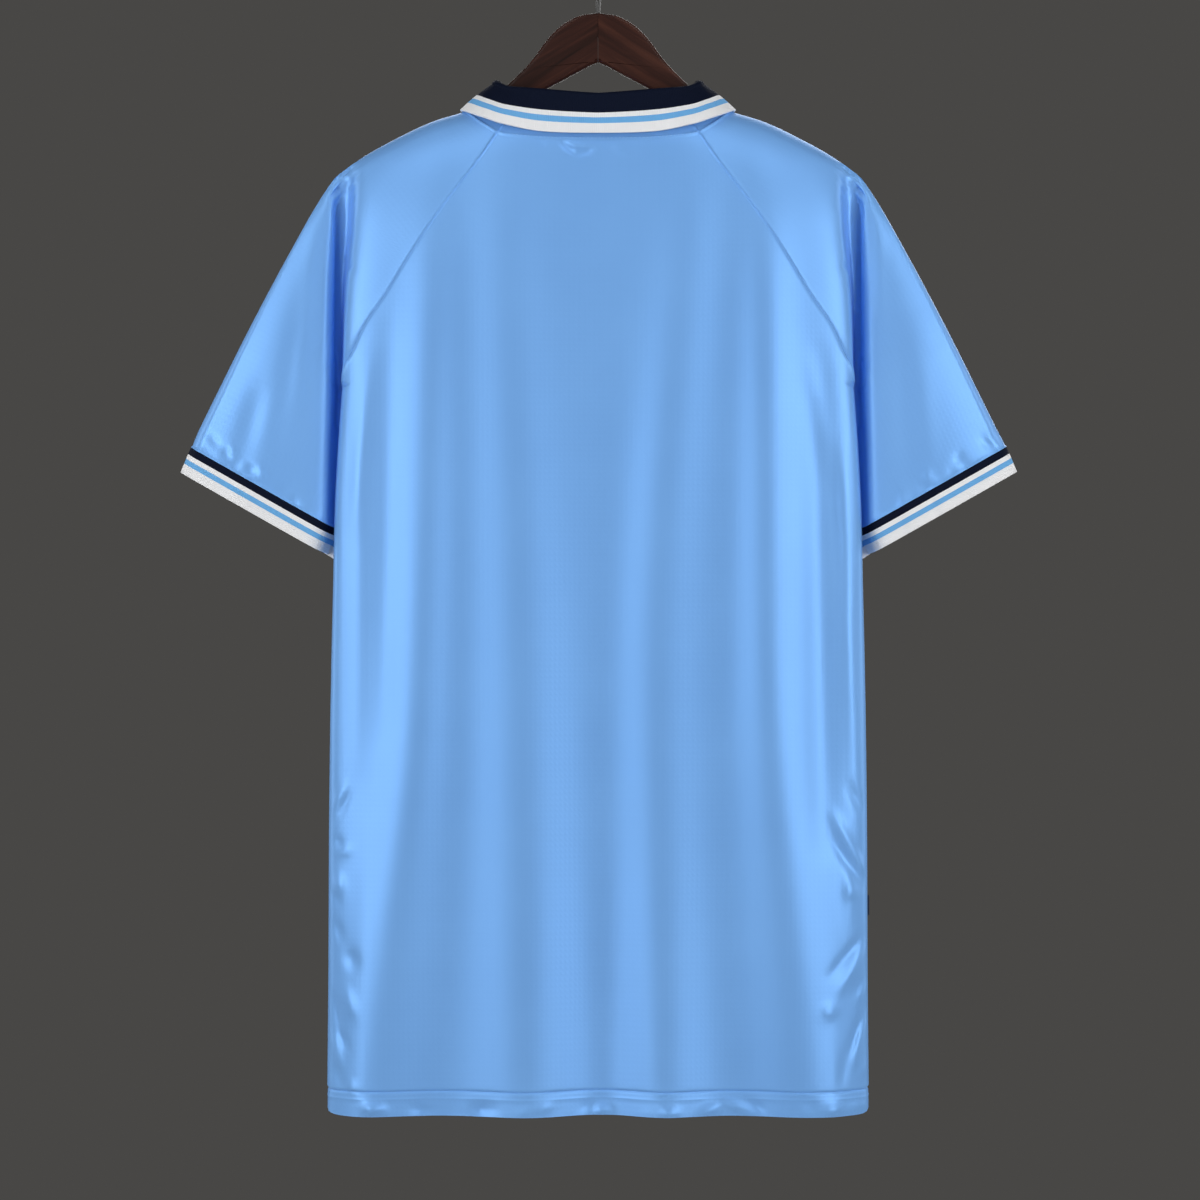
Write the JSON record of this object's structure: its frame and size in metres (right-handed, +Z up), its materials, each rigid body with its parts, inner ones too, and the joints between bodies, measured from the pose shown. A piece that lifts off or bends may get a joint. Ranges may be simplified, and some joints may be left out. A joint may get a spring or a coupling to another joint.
{
  "type": "football jersey on a wooden hanger",
  "caption": "Short-sleeved raglan football jersey with a striped fold-down collar and striped cuffs, hanging on a flat wooden hanger with a wire hook.",
  "frame": {"origin": "inside top of the hanger's hook, where the rail bears", "axes": "+Z up, the back of the jersey faces -Y and its front +Y, the sleeves point to +X and -X"},
  "size_m": [0.6394, 0.1236, 0.9095],
  "materials": {
    "jersey_cloth": "smooth satin polyester interlock knit, light sky blue",
    "rib_knit": "flat rib knit in navy, white and light blue stripes",
    "navy_tape": "plain woven navy tape, blank",
    "hanger_wood": "dark red-brown stained wood, satin lacquer",
    "hook_wire": "black enamelled steel wire"
  },
  "bodies": {
    "root": {"back_panel": "jersey_cloth", "front_panel": "jersey_cloth", "sleeve_left": "jersey_cloth", "sleeve_right": "jersey_cloth", "collar": "rib_knit", "cuff_left": "rib_knit", "cuff_right": "rib_knit", "side_tab": "navy_tape", "hanger_arm_left": "hanger_wood", "hanger_arm_right": "hanger_wood", "hanger_hook": "hook_wire"}
  },
  "joints": []
}
